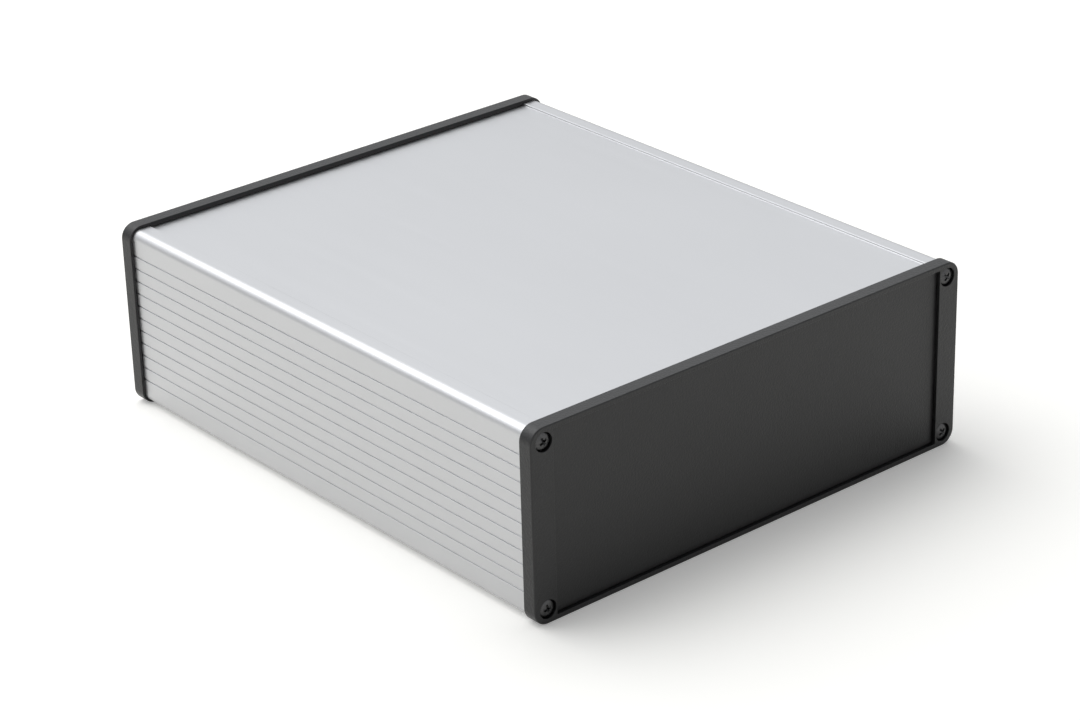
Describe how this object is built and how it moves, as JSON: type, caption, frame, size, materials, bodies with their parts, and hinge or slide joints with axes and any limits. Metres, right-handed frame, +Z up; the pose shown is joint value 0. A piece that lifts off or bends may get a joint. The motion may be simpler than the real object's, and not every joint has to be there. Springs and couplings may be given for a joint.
{
  "type": "extruded aluminium enclosure",
  "caption": "Low rectangular electronics enclosure: grooved silver extrusion with raised edge strips, slide-in bottom plate, and black bezels and end panels held by corner screws.",
  "frame": {"origin": "middle of the footprint, on the surface that the two bezels rest on", "axes": "+X to the right as seen from outside the front end, +Y along the length from the front end to the rear end, +Z up"},
  "size_m": [0.1976, 0.2312, 0.0715],
  "materials": {
    "anodised_aluminium": "fine satin silver anodising with a faint drawn grain along the length",
    "bezel_plastic": "moulded plastic with a fine matte texture",
    "panel_plastic": "flat sheet with a fine matte texture",
    "black_steel": "black finished steel with a soft sheen"
  },
  "bodies": {
    "root": {"extruded_body": "anodised_aluminium", "bottom_plate": "anodised_aluminium", "front_bezel": "bezel_plastic", "rear_bezel": "bezel_plastic", "front_panel": "panel_plastic", "rear_panel": "panel_plastic", "screw_front_upper_left": "black_steel", "screw_front_upper_right": "black_steel", "screw_front_lower_left": "black_steel", "screw_front_lower_right": "black_steel", "screw_rear_upper_left": "black_steel", "screw_rear_upper_right": "black_steel", "screw_rear_lower_left": "black_steel", "screw_rear_lower_right": "black_steel"}
  },
  "joints": []
}
